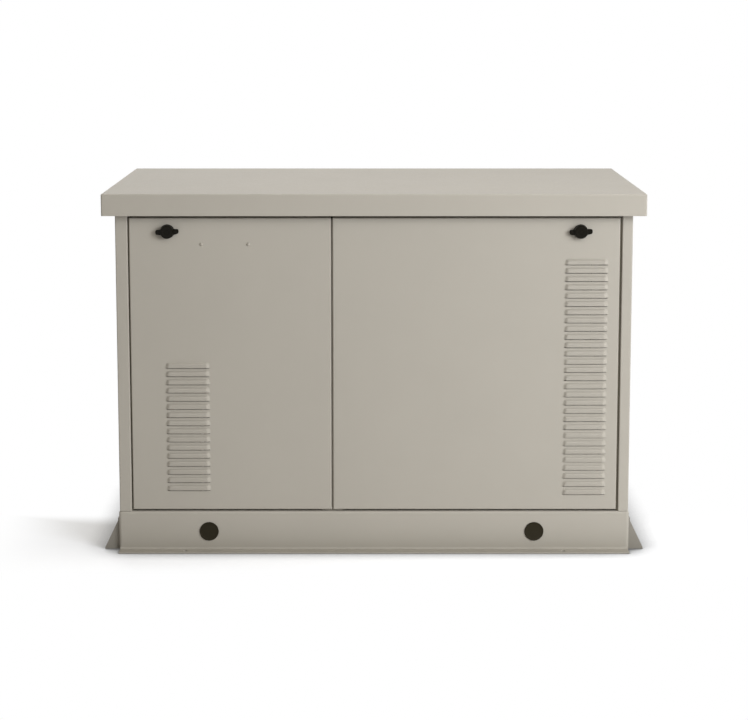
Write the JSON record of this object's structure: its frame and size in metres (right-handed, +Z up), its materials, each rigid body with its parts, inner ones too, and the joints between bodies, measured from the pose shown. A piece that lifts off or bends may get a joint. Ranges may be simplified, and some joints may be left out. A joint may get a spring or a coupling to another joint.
{
  "type": "home standby generator",
  "caption": "Standby generator in a louvred sheet-metal enclosure with a hinged roof, quarter-turn latches and lift-off front panels around a vee-twin engine and alternator.",
  "frame": {"origin": "on the ground, in the middle of the outline", "axes": "+Z up, +X to the right of someone facing the front, the front looks along -Y"},
  "size_m": [1.219, 0.673, 0.8115],
  "materials": {
    "paint": "satin powder coat",
    "black_plastic": "moulded",
    "plated_steel": "zinc plated",
    "grey_foam": "foam",
    "black_enamel": "enamel",
    "rubber": "matte",
    "cast_aluminium": "as cast",
    "aluminised_steel": "dull",
    "button_grey": "moulded"
  },
  "bodies": {
    "enclosure": {"base_pan": "paint", "foot_bracket_left": "paint", "foot_bracket_right": "paint", "lifting_hole_plug_front_left": "black_plastic", "lifting_hole_plug_front_right": "black_plastic", "lifting_hole_plug_rear_left": "black_plastic", "lifting_hole_plug_rear_right": "black_plastic", "end_panel_left": "paint", "end_panel_right": "paint", "rear_panel": "paint", "centre_post": "paint", "front_top_rail": "paint", "bulkhead": "paint", "hinge_frame_leaf_left": "paint", "hinge_frame_leaf_right": "paint", "hinge_pin_left": "plated_steel", "hinge_pin_right": "plated_steel", "engine_cradle": "black_enamel", "isolator_front_left": "rubber", "isolator_front_right": "rubber", "isolator_rear_left": "rubber", "isolator_rear_right": "rubber", "crankcase": "cast_aluminium", "cylinder_front": "cast_aluminium", "cylinder_rear": "cast_aluminium", "cylinder_head_front": "cast_aluminium", "cylinder_head_rear": "cast_aluminium", "intake_manifold": "cast_aluminium", "air_cleaner_base": "black_plastic", "air_cleaner_cover": "black_plastic", "blower_housing": "black_enamel", "alternator_housing": "cast_aluminium", "muffler": "aluminised_steel", "exhaust_pipe_front": "aluminised_steel", "exhaust_pipe_rear": "aluminised_steel", "controller_box": "black_plastic", "circuit_breaker": "black_enamel", "battery": "black_plastic", "fuel_regulator": "cast_aluminium", "fuel_hose": "rubber"},
    "roof": {"roof_panel": "paint", "roof_insulation": "grey_foam", "latch_keeper_left": "plated_steel", "latch_keeper_right": "plated_steel", "hinge_roof_leaf_left": "paint", "hinge_roof_leaf_right": "paint"},
    "left_panel": {"front_panel_left": "paint"},
    "right_panel": {"front_panel_right": "paint"},
    "left_latch": {"latch_knob_left": "black_plastic", "latch_cam_left": "plated_steel"},
    "right_latch": {"latch_knob_right": "black_plastic", "latch_cam_right": "plated_steel"},
    "crank": {"crankshaft": "plated_steel", "flywheel_fan": "cast_aluminium", "alternator_rotor": "plated_steel"},
    "toggle": {"breaker_toggle": "black_plastic"},
    "button_1": {"controller_button_1": "button_grey"},
    "button_2": {"controller_button_2": "button_grey"},
    "button_3": {"controller_button_3": "button_grey"}
  },
  "joints": [
    {"name": "roof_hinge", "type": "hinge", "parent": "enclosure", "child": "roof", "pos_m": [0, 0.3315, 0.757], "axis": [-1, 0, 0], "range_deg": [0, 85]},
    {"name": "left_panel_lift_off", "type": "slide", "parent": "enclosure", "child": "left_panel", "axis": [0, -1, 0], "range_m": [0, 0.25]},
    {"name": "right_panel_lift_off", "type": "slide", "parent": "enclosure", "child": "right_panel", "axis": [0, -1, 0], "range_m": [0, 0.25]},
    {"name": "left_latch_turn", "type": "hinge", "parent": "left_panel", "child": "left_latch", "pos_m": [-0.458, -0.305, 0.726], "axis": [0, 1, 0], "range_deg": [0, 90]},
    {"name": "right_latch_turn", "type": "hinge", "parent": "right_panel", "child": "right_latch", "pos_m": [0.458, -0.305, 0.726], "axis": [0, -1, 0], "range_deg": [0, 90]},
    {"name": "crank_spin", "type": "hinge", "parent": "enclosure", "child": "crank", "pos_m": [0, 0, 0.3], "axis": [1, 0, 0], "continuous": true},
    {"name": "breaker_throw", "type": "hinge", "parent": "enclosure", "child": "toggle", "pos_m": [-0.14715, -0.18, 0.51], "axis": [1, 0, 0], "range_deg": [0, 40]},
    {"name": "button_1_press", "type": "slide", "parent": "enclosure", "child": "button_1", "axis": [0, 0.6306, -0.7761], "range_m": [0, 0.0015], "stiffness_N_per_m": 300},
    {"name": "button_2_press", "type": "slide", "parent": "enclosure", "child": "button_2", "axis": [0, 0.6306, -0.7761], "range_m": [0, 0.0015], "stiffness_N_per_m": 300},
    {"name": "button_3_press", "type": "slide", "parent": "enclosure", "child": "button_3", "axis": [0, 0.6306, -0.7761], "range_m": [0, 0.0015], "stiffness_N_per_m": 300}
  ]
}
